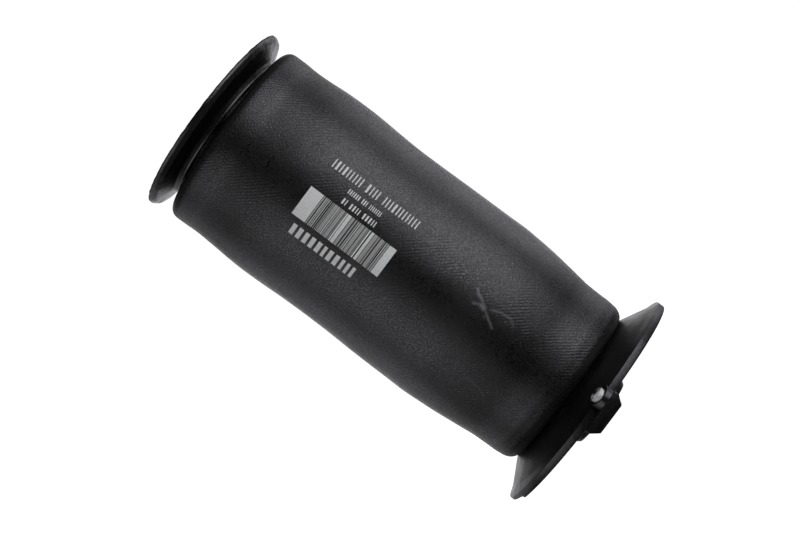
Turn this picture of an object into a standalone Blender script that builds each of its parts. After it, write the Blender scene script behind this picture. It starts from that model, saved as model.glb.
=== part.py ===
"""Rear-axle air spring: a rolling-lobe rubber sleeve between a top plate and a flared base.

The spring stands on its base, with its axis along +Z and the origin on the axis, at the
underside of the base's centre boss. Lengths below are in millimetres; the mesh helpers turn
them into metres. Radii are measured from the axis of the piece that they belong to.
"""

import math

import bmesh
import bpy

MM = 0.001
GAP = 0.3                      # clearance between pieces that touch

# Base: a shallow cone with a lip, a centre boss and a fixing ear
BOSS_RADIUS = 26.6
BOSS_BORE = 20.0
BOSS_FLOOR = 4.0
BOSS_CHAMFER = 2.0
RIM_RADIUS = 83.9
RIM_INNER = 79.9
RIM_BOTTOM = 10.2
RIM_TOP = 15.6
CONE_BREAK = (77.4, 18.0)      # radius and height where the cone turns flatter, towards the lip
SHOULDER_RADIUS = 57.4         # where the cone starts, at BASE_TOP
BASE_TOP = 28.8
WEB_BOTTOM = 23.2
WEB_RADIUS = 51.5              # the underside is level out to here, and slopes down to the lip
RIM_ROOT = 12.4                # height where the sloping underside meets the lip
RIB_COUNT = 12
RIB_WIDTH = 2.5
RIB_BOTTOM = 11.4
SPIGOT_RADIUS = 46.4
SPIGOT_BORE = 42.6
SPIGOT_TOP = 36.4
SEAL_HEIGHT = 32.3
SEAL_GROOVE_DEPTH = 2.2
SEAL_GROOVE_HALF = 1.3
SEAL_SECTION = 1.0
NOTCH_X = -76.4                # the lip's lower edge is cut away beyond this
NOTCH_TOP = 12.4

# Fixing ear on the base's -Y side, with a collar around a steel bush
EAR_LEFT = -15.7
EAR_RIGHT = 16.1
EAR_FRONT = -94.4
EAR_BOTTOM = 2.5
EAR_TOP = 11.5
EAR_ROOT = ((-60.0, 2.5), (-60.0, 23.6), (-65.0, 23.6), (-81.2, 14.6), (-82.2, 11.5))
EAR_CORNER = (4.8, 6.0)        # width and height of the cut-off lower corners
COLLAR_X = 8.3
COLLAR_Y = -86.0
COLLAR_RADIUS = 8.0
COLLAR_BOTTOM = 5.0
COLLAR_BACK_TOP = 21.4
COLLAR_FRONT_TOP = 15.0
BUSH_X = 7.6
POCKET_RADIUS = 6.2
POCKET_FLOOR = 9.0
BUSH_RADIUS = 5.2
BUSH_BORE = 3.3
BUSH_TOP = 20.0

# Piston that the sleeve rolls on
PISTON_RADIUS = 50.9
PISTON_WALL = 4.0
PISTON_TOP = 135.0
PISTON_CROWN = 4.5             # thickness of its closed top
PISTON_LIP_RADIUS = 53.6
PISTON_LIP_BOTTOM = 127.5
POST_CIRCLE = 36.0
POST_RADIUS = 5.5
POST_TOP = 60.0
GUSSET_WIDTH = 3.0
SCREW_COUNT = 4
SCREW_RADIUS = 2.4
SCREW_HEAD_RADIUS = 5.2
SCREW_HEAD_HEIGHT = 3.6
SCREW_TIP = 48.0

# Rubber sleeve
SLEEVE_WALL = 2.8
# a fold is an arc: centre (radius, height), half width, half height, and how square it is
LOWER_FOLD = ((57.6, 39.0), 6.4, 9.2, 2.0)
UPPER_FOLD = ((55.2, 312.2), 14.2, 9.0, 2.8)
WALL_STEPS = 12
# height and outer radius of the free wall, from the lower fold to the upper one
SLEEVE_STATIONS = ((39.0, 64.0), (50.0, 64.4), (62.0, 65.0), (76.0, 66.7), (90.0, 68.3), (104.0, 69.4),
                   (117.5, 70.0), (145.0, 69.6), (172.0, 69.4), (200.0, 69.1), (228.0, 69.8),
                   (255.0, 70.6), (283.0, 69.6), (297.0, 69.0), (312.2, 69.4))

# Top plate: a shallow dish with a spigot that the sleeve is clamped on
PLATE_RADIUS = 71.6
PLATE_TOP = 336.9
PLATE_FLANGE = 335.0           # the flange between the recess and the rim's bead
PLATE_FLOOR = 331.9
PLATE_UNDERSIDE = 328.4
RECESS_RADIUS = 57.5
SKIRT = (51.3, 54.3, 323.2)    # inner and outer radius and lower edge of the skirt over the sleeve
# underside of the flange, from the skirt to the bead
FLANGE_UNDERSIDE = ((54.4, 324.8), (55.2, 326.6), (57.0, 328.0), (60.0, 328.9), (69.0, 332.6))
BEAD_RADIUS = 1.9
BEAD_HALF_HEIGHT = 2.1
NECK_RADIUS = 40.7
NECK_BORE = 36.0
NECK_CEILING = 327.4
NECK_BOTTOM = 286.4
NECK_LIP_RADIUS = 43.3
NECK_LIP_TOP = 293.4
HUB_RADIUS = 12.0
HUB_BOTTOM = 318.4
HUB_TOP = 333.2
INSERT_SPACING = 60.0
INSERT_RADIUS = 3.9
INSERT_BORE = 2.6
INSERT_BOTTOM = 329.3
INSERT_TOP = 336.3
INSERT_BOSS_RADIUS = 7.5
ISOLATOR = (42.0, 56.5, 337.7)  # inner and outer radius and top

CRIMP_THICKNESS = 2.0
LOWER_CRIMP = (110.0, 126.0)
UPPER_CRIMP = (296.4, 309.4)

# Bump stop, hung from the top plate
STOP_TOP = 315.2
STOP_BOTTOM = 236.0
STOP_BORE = 7.0
STOP_RADIUS = 26.3
CUP_LIP = 308.4
CUP_RADIUS = 29.0
STOP_SCREW_RADIUS = 3.9
STOP_SCREW_TIP = 330.0

# Push-in air fitting, on the side away from the ear
FITTING_Y = 24.0
FITTING_SHANK = 5.0
FITTING_BORE = 2.2
FITTING_BOTTOM = 323.9
FITTING_HEX_BOTTOM = 334.1
FITTING_HEX_TOP = 339.4
FITTING_TOP = 343.9
FITTING_COLLAR = 6.8           # radius of its round top
FITTING_MOUTH = 4.6            # radius of the mouth that holds the collet
FITTING_SHELF = 336.4          # bottom of the mouth
FITTING_ACROSS_FLATS = 15.0
COLLET_BOTTOM = 337.6
COLLET_TRAVEL = 1.0
PLUG_TIP = 337.9

COARSE = 16                    # segments of small round pieces
MIDDLE = 24
FINE = 32                      # segments of the widest pieces


# ---------------------------------------------------------------- helpers

def clear_scene():
    for obj in list(bpy.data.objects):
        bpy.data.objects.remove(obj, do_unlink=True)


def make_material(name, colour, roughness, metallic=0.0):
    material = bpy.data.materials.new(name)
    material.use_nodes = True
    shader = material.node_tree.nodes["Principled BSDF"]
    shader.inputs["Base Color"].default_value = (*colour, 1.0)
    shader.inputs["Roughness"].default_value = roughness
    shader.inputs["Metallic"].default_value = metallic
    return material


def finish_object(name, bm, material=None, place=(0.0, 0.0, 0.0), smooth=True):
    """Turn a bmesh in millimetres into an object in metres, with its faces pointing out."""
    bmesh.ops.recalc_face_normals(bm, faces=bm.faces)
    bmesh.ops.scale(bm, vec=(MM, MM, MM), verts=bm.verts)
    mesh = bpy.data.meshes.new(name)
    bm.to_mesh(mesh)
    bm.free()
    if smooth:
        mesh.shade_smooth()
        mesh.set_sharp_from_angle(angle=math.radians(32))
    if material:
        mesh.materials.append(material)
    obj = bpy.data.objects.new(name, mesh)
    obj.location = [value * MM for value in place]
    bpy.context.scene.collection.objects.link(obj)
    return obj


def arc(centre, width, height, start, end, steps, square=2.0):
    """Points of an arc in the (radius, height) plane, angles in degrees.

    A square of 2 gives an ellipse, and a higher one fills its corners out.
    """
    points = []
    for step in range(steps + 1):
        angle = math.radians(start + (end - start) * step / steps)
        across, up = math.cos(angle), math.sin(angle)
        points.append((centre[0] + width * math.copysign(abs(across) ** (2.0 / square), across),
                       centre[1] + height * math.copysign(abs(up) ** (2.0 / square), up)))
    return points


def add_turned(bm, outline, steps):
    """Spin a closed outline of (radius, height) points about the Z axis."""
    verts = [bm.verts.new((radius, 0.0, height)) for radius, height in outline]
    edges = [bm.edges.new((verts[i], verts[(i + 1) % len(verts)])) for i in range(len(verts))]
    bmesh.ops.spin(bm, geom=verts + edges, cent=(0.0, 0.0, 0.0), axis=(0, 0, 1),
                   angle=math.tau, steps=steps, use_merge=True)


def close_axis(bm):
    """Merge the points that lie on the axis and drop the faces that collapse there."""
    bmesh.ops.remove_doubles(bm, verts=bm.verts, dist=0.0005)
    bmesh.ops.dissolve_degenerate(bm, dist=0.0002, edges=bm.edges)
    loose = [edge for edge in bm.edges if not edge.link_faces]
    bmesh.ops.delete(bm, geom=loose, context="EDGES")
    inner = [face for face in bm.faces if all(len(edge.link_faces) > 2 for edge in face.edges)]
    bmesh.ops.delete(bm, geom=inner, context="FACES")


def turned(name, outline, steps, material=None, place=(0.0, 0.0, 0.0)):
    bm = bmesh.new()
    add_turned(bm, outline, steps)
    close_axis(bm)
    return finish_object(name, bm, material, place)


def add_prism(bm, outline, low, high, axis):
    """Extrude a 2-D outline from low to high along x, y or z."""
    order = {"x": lambda a, b, c: (c, a, b), "y": lambda a, b, c: (a, c, b),
             "z": lambda a, b, c: (a, b, c)}[axis]
    verts = [bm.verts.new(order(a, b, low)) for a, b in outline]
    face = bm.faces.new(verts)
    moved = bmesh.ops.extrude_face_region(bm, geom=[face])
    shift = order(0.0, 0.0, high - low)
    new_verts = [item for item in moved["geom"] if isinstance(item, bmesh.types.BMVert)]
    bmesh.ops.translate(bm, vec=shift, verts=new_verts)


def circle(centre, radius, steps, turn=0.0):
    return [(centre[0] + radius * math.cos(turn + math.tau * i / steps),
             centre[1] + radius * math.sin(turn + math.tau * i / steps)) for i in range(steps)]


def on_circle(radius, count, first=0.0):
    return [(radius * math.cos(math.radians(first) + math.tau * i / count),
             radius * math.sin(math.radians(first) + math.tau * i / count)) for i in range(count)]


def rods(name, centres, radius, low, high, steps=COARSE):
    """Upright round bars, as one tool object."""
    bm = bmesh.new()
    for centre in centres:
        add_prism(bm, circle(centre, radius, steps), low, high, "z")
    return finish_object(name, bm)


def prism(name, outline, low, high, axis):
    bm = bmesh.new()
    add_prism(bm, outline, low, high, axis)
    return finish_object(name, bm, smooth=False)


def apply_tool(target, tool, operation):
    """Add a Boolean modifier, and keep its tool out of the model."""
    modifier = target.modifiers.new(f"{operation.lower()}_{tool.name}", "BOOLEAN")
    modifier.operation = operation
    modifier.solver = "EXACT"
    modifier.object = tool
    tool.hide_render = True
    tool.display_type = "WIRE"


# ---------------------------------------------------------------- base

def base_outline():
    seat_low, seat_high = SEAL_HEIGHT - SEAL_GROOVE_HALF, SEAL_HEIGHT + SEAL_GROOVE_HALF
    groove = SPIGOT_RADIUS - SEAL_GROOVE_DEPTH
    return [(0.0, 0.0), (BOSS_RADIUS - BOSS_CHAMFER, 0.0), (BOSS_RADIUS, BOSS_CHAMFER),
            (BOSS_RADIUS, WEB_BOTTOM), (WEB_RADIUS, WEB_BOTTOM), (RIM_INNER, RIM_ROOT),
            (RIM_INNER, RIM_BOTTOM + 0.5), (RIM_INNER + 0.6, RIM_BOTTOM), (RIM_RADIUS - 0.8, RIM_BOTTOM),
            (RIM_RADIUS, RIM_BOTTOM + 0.8), (RIM_RADIUS, RIM_TOP - 0.8), (RIM_RADIUS - 0.8, RIM_TOP),
            CONE_BREAK, (SHOULDER_RADIUS, BASE_TOP), (SPIGOT_RADIUS, BASE_TOP),
            (SPIGOT_RADIUS, seat_low), (groove, seat_low), (groove, seat_high),
            (SPIGOT_RADIUS, seat_high), (SPIGOT_RADIUS, SPIGOT_TOP - 1.0),
            (SPIGOT_RADIUS - 1.0, SPIGOT_TOP), (SPIGOT_BORE, SPIGOT_TOP), (SPIGOT_BORE, BASE_TOP),
            (BOSS_BORE, BASE_TOP), (BOSS_BORE, BOSS_FLOOR), (0.0, BOSS_FLOOR)]


def base_ribs():
    """Radial stiffening ribs under the cone, from the boss to the lip."""
    bm = bmesh.new()
    inner, outer, sunk = BOSS_RADIUS - 1.5, RIM_INNER + 1.0, 1.5
    side = [(inner, RIB_BOTTOM), (outer, RIB_BOTTOM), (outer, RIM_ROOT + sunk),
            (WEB_RADIUS + sunk, WEB_BOTTOM + sunk), (inner, WEB_BOTTOM + sunk)]
    for index in range(RIB_COUNT):
        rib = bmesh.new()
        add_prism(rib, side, -RIB_WIDTH / 2, RIB_WIDTH / 2, "y")
        turn = math.tau * index / RIB_COUNT
        for vert in rib.verts:
            x, y = vert.co.x, vert.co.y
            vert.co.x = x * math.cos(turn) - y * math.sin(turn)
            vert.co.y = x * math.sin(turn) + y * math.cos(turn)
        piece = bpy.data.meshes.new("rib")
        rib.to_mesh(piece)
        rib.free()
        bm.from_mesh(piece)
        bpy.data.meshes.remove(piece)
    return finish_object("tool_ribs", bm, smooth=False)


def ear_block():
    """The ear's block: its side outline, trimmed by its front outline with cut-off corners."""
    side = [(EAR_FRONT, EAR_BOTTOM), *EAR_ROOT, (EAR_FRONT, EAR_TOP)]
    block = prism("tool_ear", side, EAR_LEFT, EAR_RIGHT, "x")
    cut_width, cut_top = EAR_CORNER[0], EAR_BOTTOM + EAR_CORNER[1]
    front = [(EAR_LEFT + cut_width, EAR_BOTTOM), (EAR_RIGHT - cut_width, EAR_BOTTOM),
             (EAR_RIGHT, cut_top), (EAR_RIGHT, 40.0), (EAR_LEFT, 40.0), (EAR_LEFT, cut_top)]
    apply_tool(block, prism("tool_ear_front", front, -120.0, -40.0, "y"), "INTERSECT")
    return block


def ear_collar():
    """Round collar around the bush, with its mouth sloping down to the front."""
    bm = bmesh.new()
    add_prism(bm, circle((COLLAR_X, COLLAR_Y), COLLAR_RADIUS, MIDDLE), COLLAR_BOTTOM,
              COLLAR_BACK_TOP, "z")
    slope = (COLLAR_BACK_TOP - COLLAR_FRONT_TOP) / (2.0 * COLLAR_RADIUS)
    for vert in bm.verts:
        if vert.co.z > COLLAR_BOTTOM + 1.0:
            vert.co.z = COLLAR_FRONT_TOP + slope * (vert.co.y - (COLLAR_Y - COLLAR_RADIUS))
    return finish_object("tool_collar", bm)


def build_base(plastic):
    base = turned("base_seat", base_outline(), FINE, plastic)
    apply_tool(base, base_ribs(), "UNION")
    apply_tool(base, ear_block(), "UNION")
    apply_tool(base, ear_collar(), "UNION")
    bush_centre = [(BUSH_X, COLLAR_Y)]
    apply_tool(base, rods("tool_pocket", bush_centre, POCKET_RADIUS, POCKET_FLOOR, 40.0, MIDDLE),
               "DIFFERENCE")
    apply_tool(base, rods("tool_bush_hole", bush_centre, BUSH_RADIUS + GAP, -5.0, 12.0, MIDDLE),
               "DIFFERENCE")
    apply_tool(base, rods("tool_screw_holes", screw_places(), SCREW_RADIUS + GAP, 15.0, 35.0, 16),
               "DIFFERENCE")
    notch = [(-95.0, 5.0), (NOTCH_X, 5.0), (NOTCH_X, NOTCH_TOP - 0.8), (NOTCH_X - 1.0, NOTCH_TOP),
             (-95.0, NOTCH_TOP + 1.2)]
    apply_tool(base, prism("tool_lip_notch", notch, -40.0, 40.0, "y"), "DIFFERENCE")


def build_bush(steel):
    outline = [(BUSH_BORE, EAR_BOTTOM), (BUSH_RADIUS - 0.5, EAR_BOTTOM),
               (BUSH_RADIUS, EAR_BOTTOM + 0.5), (BUSH_RADIUS, BUSH_TOP - 0.5),
               (BUSH_RADIUS - 0.5, BUSH_TOP), (BUSH_BORE, BUSH_TOP)]
    turned("steel_bush", outline, MIDDLE, steel, (BUSH_X, COLLAR_Y, 0.0))


# ---------------------------------------------------------------- piston

def screw_places():
    return on_circle(POST_CIRCLE, SCREW_COUNT, 45.0)


def build_piston(plastic):
    inner = PISTON_RADIUS - PISTON_WALL
    bottom = BASE_TOP + GAP
    ceiling = PISTON_TOP - PISTON_CROWN
    outline = [(inner, bottom), (PISTON_RADIUS, bottom), (PISTON_RADIUS, PISTON_LIP_BOTTOM),
               (PISTON_LIP_RADIUS, PISTON_LIP_BOTTOM), (PISTON_LIP_RADIUS, PISTON_TOP - 2.5),
               (PISTON_LIP_RADIUS - 2.5, PISTON_TOP), (0.0, PISTON_TOP), (0.0, ceiling),
               (inner - 3.0, ceiling), (inner, ceiling - 3.0)]
    piston = turned("piston", outline, FINE, plastic)
    apply_tool(piston, rods("tool_posts", screw_places(), POST_RADIUS, bottom, POST_TOP), "UNION")
    bm = bmesh.new()
    half = GUSSET_WIDTH / 2
    for x, y in screw_places():
        along = (x / POST_CIRCLE, y / POST_CIRCLE)
        outline = []
        for reach, side in ((POST_CIRCLE, -half), (inner + 1.5, -half), (inner + 1.5, half),
                            (POST_CIRCLE, half)):
            outline.append((along[0] * reach - along[1] * side, along[1] * reach + along[0] * side))
        add_prism(bm, outline, SPIGOT_TOP + 1.0, POST_TOP - 2.0, "z")
    apply_tool(piston, finish_object("tool_gussets", bm, smooth=False), "UNION")
    apply_tool(piston, rods("tool_post_holes", screw_places(), SCREW_RADIUS + GAP,
                            bottom - 5.0, SCREW_TIP + 3.0, 16), "DIFFERENCE")


def build_piston_seal(rubber):
    outline = arc((SPIGOT_RADIUS - 0.9, SEAL_HEIGHT), SEAL_SECTION, SEAL_SECTION, 0, 300, 5)
    turned("piston_seal", outline, FINE, rubber)


def build_piston_screws(steel):
    head_top = WEB_BOTTOM - GAP
    head_bottom = head_top - SCREW_HEAD_HEIGHT
    outline = [(0.0, head_bottom), (SCREW_HEAD_RADIUS - 1.2, head_bottom),
               (SCREW_HEAD_RADIUS, head_bottom + 1.4), (SCREW_HEAD_RADIUS, head_top),
               (SCREW_RADIUS, head_top), (SCREW_RADIUS, SCREW_TIP - 3.0), (0.6, SCREW_TIP),
               (0.0, SCREW_TIP)]
    for index, (x, y) in enumerate(screw_places(), start=1):
        turned(f"piston_screw_{index}", outline, 16, steel, (x, y, 0.0))


# ---------------------------------------------------------------- sleeve

def sleeve_radius(height):
    """Outer radius of the free wall, between its stations."""
    for (low, start), (high, end) in zip(SLEEVE_STATIONS, SLEEVE_STATIONS[1:]):
        if height <= high:
            return start + (end - start) * (height - low) / (high - low)
    return SLEEVE_STATIONS[-1][1]


def fold_arc(fold, inset, start, end, steps):
    centre, width, height, square = fold
    return arc(centre, width - inset, height - inset, start, end, steps, square)


def sleeve_face(inset):
    """One face of the sleeve, from the clamp on the piston to the clamp on the top plate."""
    low, high = LOWER_FOLD[0][1], UPPER_FOLD[0][1]
    heights = [low + (high - low) * step / WALL_STEPS for step in range(1, WALL_STEPS)]
    wall = [(sleeve_radius(height) - inset, height) for height in heights]
    lower = fold_arc(LOWER_FOLD, inset, 180, 360, 6)
    upper = fold_arc(UPPER_FOLD, inset, 0, 180, 8)
    start = (lower[0][0], PISTON_LIP_BOTTOM - GAP)
    end = (upper[-1][0], NECK_LIP_TOP + GAP)
    return [start] + lower + wall + upper + [end]


def build_bellows(rubber):
    outline = sleeve_face(0.0) + list(reversed(sleeve_face(SLEEVE_WALL)))
    turned("bellows", outline, FINE, rubber)


def build_crimp_ring(name, inner, span, metal):
    low, high = span
    outer = inner + CRIMP_THICKNESS
    outline = [(inner, low + 0.6), (inner + 0.6, low), (outer, low), (outer, high),
               (inner + 0.6, high), (inner, high - 0.6)]
    turned(name, outline, FINE, metal)


# ---------------------------------------------------------------- top plate

def plate_outline():
    bead_out, bead_in = PLATE_RADIUS - BEAD_RADIUS, PLATE_RADIUS - 5.6
    skirt_inner, skirt_outer, skirt_bottom = SKIRT
    return ([(0.0, HUB_BOTTOM), (HUB_RADIUS, HUB_BOTTOM), (HUB_RADIUS, NECK_CEILING),
             (NECK_BORE, NECK_CEILING), (NECK_BORE, NECK_BOTTOM), (NECK_LIP_RADIUS - 1.3, NECK_BOTTOM),
             (NECK_LIP_RADIUS, NECK_BOTTOM + 1.3), (NECK_LIP_RADIUS, NECK_LIP_TOP),
             (NECK_RADIUS, NECK_LIP_TOP), (NECK_RADIUS, PLATE_UNDERSIDE),
             (skirt_inner, PLATE_UNDERSIDE), (skirt_inner, skirt_bottom), (skirt_outer, skirt_bottom),
             *FLANGE_UNDERSIDE]
            + arc((bead_out, PLATE_TOP - BEAD_HALF_HEIGHT), BEAD_RADIUS, BEAD_HALF_HEIGHT, -90, 90, 6)
            + [(bead_in, PLATE_TOP), (bead_in - 1.4, PLATE_TOP - 0.9), (bead_in - 1.8, PLATE_FLANGE),
               (RECESS_RADIUS + 0.8, PLATE_FLANGE), (RECESS_RADIUS, PLATE_FLOOR),
               (HUB_RADIUS + 2.0, PLATE_FLOOR), (HUB_RADIUS + 1.0, HUB_TOP), (0.0, HUB_TOP)])


def insert_places():
    return [(-INSERT_SPACING / 2, 0.0), (INSERT_SPACING / 2, 0.0)]


def build_top_plate(plastic):
    plate = turned("top_plate", plate_outline(), FINE, plastic)
    above, below = PLATE_TOP + 10.0, HUB_BOTTOM - 5.0
    apply_tool(plate, rods("tool_insert_bosses", insert_places(), INSERT_BOSS_RADIUS,
                           PLATE_FLOOR - 2.0, INSERT_TOP - 0.4), "UNION")
    apply_tool(plate, rods("tool_insert_holes", insert_places(), INSERT_RADIUS + GAP,
                           INSERT_BOTTOM - GAP, above), "DIFFERENCE")
    apply_tool(plate, rods("tool_fitting_hole", [(0.0, FITTING_Y)], FITTING_SHANK + GAP,
                           below, above), "DIFFERENCE")
    apply_tool(plate, rods("tool_stop_screw_hole", [(0.0, 0.0)], STOP_SCREW_RADIUS + GAP,
                           below, STOP_SCREW_TIP + 0.6), "DIFFERENCE")


def build_inserts(brass):
    outline = [(INSERT_BORE, INSERT_BOTTOM), (INSERT_RADIUS - 0.4, INSERT_BOTTOM),
               (INSERT_RADIUS, INSERT_BOTTOM + 0.8),
               (INSERT_RADIUS, INSERT_TOP), (INSERT_BORE + 0.5, INSERT_TOP),
               (INSERT_BORE, INSERT_TOP - 0.6)]
    for index, (x, y) in enumerate(insert_places(), start=1):
        turned(f"top_insert_{index}", outline, COARSE, brass, (x, y, 0.0))


def build_isolator(rubber):
    low = PLATE_FLOOR + GAP
    inner, outer, top = ISOLATOR
    outline = [(inner, low), (outer, low), (outer - 1.3, top), (inner + 1.5, top)]
    turned("top_isolator", outline, FINE, rubber)


# ---------------------------------------------------------------- bump stop

def build_bump_stop(foam):
    outline = ([(STOP_BORE, STOP_TOP), (STOP_BORE, STOP_BOTTOM + 1.0), (STOP_BORE + 1.0, STOP_BOTTOM)]
               + arc((13.0, STOP_BOTTOM + 3.0), 3.0, 3.0, -90, -20, 2)
               + [(20.5, STOP_BOTTOM + 14.0)]
               + arc((20.5, STOP_BOTTOM + 22.0), 4.5, 6.0, -50, 50, 4)
               + [(20.0, STOP_BOTTOM + 35.0)]
               + arc((22.0, STOP_BOTTOM + 48.0), 5.0, 8.0, -50, 50, 4)
               + [(21.5, STOP_BOTTOM + 62.0), (21.5, STOP_TOP - 11.8), (STOP_RADIUS, STOP_TOP - 7.3),
                  (STOP_RADIUS, STOP_TOP)])
    turned("bump_stop", outline, MIDDLE, foam)


def build_stop_cup(steel):
    low, high = STOP_TOP + GAP, HUB_BOTTOM - GAP
    bore, inner = STOP_SCREW_RADIUS + 0.5, STOP_RADIUS + 0.4
    outline = [(bore, low), (inner, low), (inner, CUP_LIP), (CUP_RADIUS, CUP_LIP),
               (CUP_RADIUS, high - 1.0), (CUP_RADIUS - 1.0, high), (bore, high)]
    turned("bump_stop_cup", outline, MIDDLE, steel)


def build_stop_screw(steel):
    head_bottom = STOP_TOP - 5.2
    head, shank = STOP_BORE - 0.7, STOP_SCREW_RADIUS
    outline = [(0.0, head_bottom), (head - 0.6, head_bottom), (head, head_bottom + 0.6),
               (head, STOP_TOP), (shank, STOP_TOP), (shank, STOP_SCREW_TIP - 0.6),
               (shank - 0.6, STOP_SCREW_TIP), (0.0, STOP_SCREW_TIP)]
    turned("bump_stop_screw", outline, COARSE, steel)


# ---------------------------------------------------------------- air fitting

def build_fitting_body(brass):
    hexagon = FITTING_ACROSS_FLATS / math.sqrt(3.0)
    place = (0.0, FITTING_Y, 0.0)
    outline = [(FITTING_BORE, FITTING_BOTTOM), (FITTING_SHANK - 0.6, FITTING_BOTTOM),
               (FITTING_SHANK, FITTING_BOTTOM + 0.6), (FITTING_SHANK, FITTING_HEX_BOTTOM + 1.0),
               (FITTING_COLLAR, FITTING_HEX_BOTTOM + 1.0), (FITTING_COLLAR, FITTING_TOP - 0.6),
               (FITTING_COLLAR - 0.6, FITTING_TOP), (FITTING_MOUTH, FITTING_TOP),
               (FITTING_MOUTH, FITTING_SHELF), (FITTING_BORE, FITTING_SHELF)]
    body = turned("fitting_body", outline, COARSE, brass, place)
    bm = bmesh.new()
    add_prism(bm, circle((0.0, FITTING_Y), hexagon, 6), FITTING_HEX_BOTTOM, FITTING_HEX_TOP, "z")
    hex_block = finish_object("tool_hex", bm, smooth=False)
    apply_tool(hex_block, rods("tool_hex_hole", [(0.0, FITTING_Y)], FITTING_MOUTH + 0.2,
                               FITTING_BOTTOM, FITTING_TOP), "DIFFERENCE")
    apply_tool(body, hex_block, "UNION")


def build_fitting_seal(rubber):
    centre = (FITTING_SHANK + 1.3, FITTING_HEX_BOTTOM - 1.1)
    outline = arc(centre, 0.8, 0.8, 0, 300, 5)
    turned("fitting_seal", outline, COARSE, rubber, (0.0, FITTING_Y, 0.0))


def build_collet(plastic):
    low_flange = FITTING_TOP + COLLET_TRAVEL + 0.2
    outline = [(2.3, COLLET_BOTTOM), (4.2, COLLET_BOTTOM), (4.2, low_flange), (5.8, low_flange),
               (5.8, low_flange + 1.1), (5.4, low_flange + 1.5), (2.7, low_flange + 1.5),
               (2.3, low_flange + 1.1)]
    turned("fitting_collet", outline, COARSE, plastic, (0.0, FITTING_Y, 0.0))


def build_plug(plastic):
    head = FITTING_TOP + COLLET_TRAVEL + 2.0
    outline = [(0.0, PLUG_TIP), (1.5, PLUG_TIP), (2.0, PLUG_TIP + 0.5), (2.0, head), (4.6, head),
               (4.6, head + 3.4), (4.0, head + 4.0), (0.0, head + 4.0)]
    turned("fitting_plug", outline, COARSE, plastic, (0.0, FITTING_Y, 0.0))


# ---------------------------------------------------------------- assembly

def main():
    clear_scene()
    black_plastic = make_material("black_plastic", (0.030, 0.030, 0.032), 0.45)
    black_rubber = make_material("black_rubber", (0.022, 0.022, 0.023), 0.62)
    seal_rubber = make_material("seal_rubber", (0.015, 0.015, 0.015), 0.55)
    stop_foam = make_material("stop_foam", (0.62, 0.52, 0.33), 0.75)
    steel = make_material("zinc_steel", (0.62, 0.62, 0.60), 0.32, 1.0)
    aluminium = make_material("crimp_aluminium", (0.72, 0.72, 0.73), 0.35, 1.0)
    brass = make_material("brass", (0.72, 0.53, 0.26), 0.30, 1.0)
    plug_plastic = make_material("plug_plastic", (0.55, 0.07, 0.05), 0.45)

    build_base(black_plastic)
    build_bush(steel)
    build_piston(black_plastic)
    build_piston_seal(seal_rubber)
    build_piston_screws(steel)
    build_bellows(black_rubber)
    build_crimp_ring("lower_crimp_ring", PISTON_RADIUS + GAP + SLEEVE_WALL + GAP, LOWER_CRIMP, aluminium)
    build_crimp_ring("upper_crimp_ring", NECK_RADIUS + GAP + SLEEVE_WALL + GAP, UPPER_CRIMP, aluminium)
    build_top_plate(black_plastic)
    build_inserts(brass)
    build_isolator(seal_rubber)
    build_bump_stop(stop_foam)
    build_stop_cup(steel)
    build_stop_screw(steel)
    build_fitting_body(brass)
    build_fitting_seal(seal_rubber)
    build_collet(black_plastic)
    build_plug(plug_plastic)


main()
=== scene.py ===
"""Looks of a rear-axle air spring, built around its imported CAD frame. Metres, axis along +Z."""

import math
import random

import bmesh
import bpy
from mathutils import Matrix, Vector, noise


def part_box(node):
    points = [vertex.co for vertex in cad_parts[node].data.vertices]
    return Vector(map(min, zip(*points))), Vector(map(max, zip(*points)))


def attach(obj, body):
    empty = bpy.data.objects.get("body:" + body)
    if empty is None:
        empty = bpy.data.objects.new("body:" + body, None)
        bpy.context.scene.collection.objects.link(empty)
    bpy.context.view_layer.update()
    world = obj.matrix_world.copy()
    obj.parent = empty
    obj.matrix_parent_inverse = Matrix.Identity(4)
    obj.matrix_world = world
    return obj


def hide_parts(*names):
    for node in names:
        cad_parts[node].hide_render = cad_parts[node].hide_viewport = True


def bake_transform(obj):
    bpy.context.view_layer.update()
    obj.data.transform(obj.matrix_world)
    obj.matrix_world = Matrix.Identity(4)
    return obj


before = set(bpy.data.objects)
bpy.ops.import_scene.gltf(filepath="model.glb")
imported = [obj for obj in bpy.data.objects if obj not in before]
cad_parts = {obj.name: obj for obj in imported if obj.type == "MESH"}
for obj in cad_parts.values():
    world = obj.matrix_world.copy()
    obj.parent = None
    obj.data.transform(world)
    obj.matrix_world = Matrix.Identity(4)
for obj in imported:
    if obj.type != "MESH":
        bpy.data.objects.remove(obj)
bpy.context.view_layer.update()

MM = 0.001


# ---------------------------------------------------------------- sizes read from the frame

def top_of(node):
    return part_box(node)[1].z


def bottom_of(node):
    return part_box(node)[0].z


def centre_of(node):
    low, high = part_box(node)
    return (low + high) / 2


# ---------------------------------------------------------------- mesh helpers

ON_AXIS = 1e-7                           # a smaller radius counts as a point on the axis
NEARLY_STRAIGHT = math.radians(172)      # a corner opener than this isn't rounded
LONGEST_REACH = 0.48                     # how much of an edge the rounding of one corner may take
SHARP = 35.0                             # degrees; an edge that turns more than this is shaded as sharp
SHARP_SOFT = 50.0                        # the same for the sleeve and its print


def new_object(name, bm, material, body, sharp=SHARP):
    """Finish a bmesh as a piece. With no body given, it is attached to none here, and the caller may
    attach it later.
    """
    bmesh.ops.recalc_face_normals(bm, faces=bm.faces)
    mesh = bpy.data.meshes.new(name)
    bm.to_mesh(mesh)
    bm.free()
    mesh.shade_smooth()
    mesh.set_sharp_from_angle(angle=math.radians(sharp))
    mesh.materials.append(material)
    obj = bpy.data.objects.new(name, mesh)
    bpy.context.scene.collection.objects.link(obj)
    if body:
        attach(obj, body)
    return obj


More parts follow.
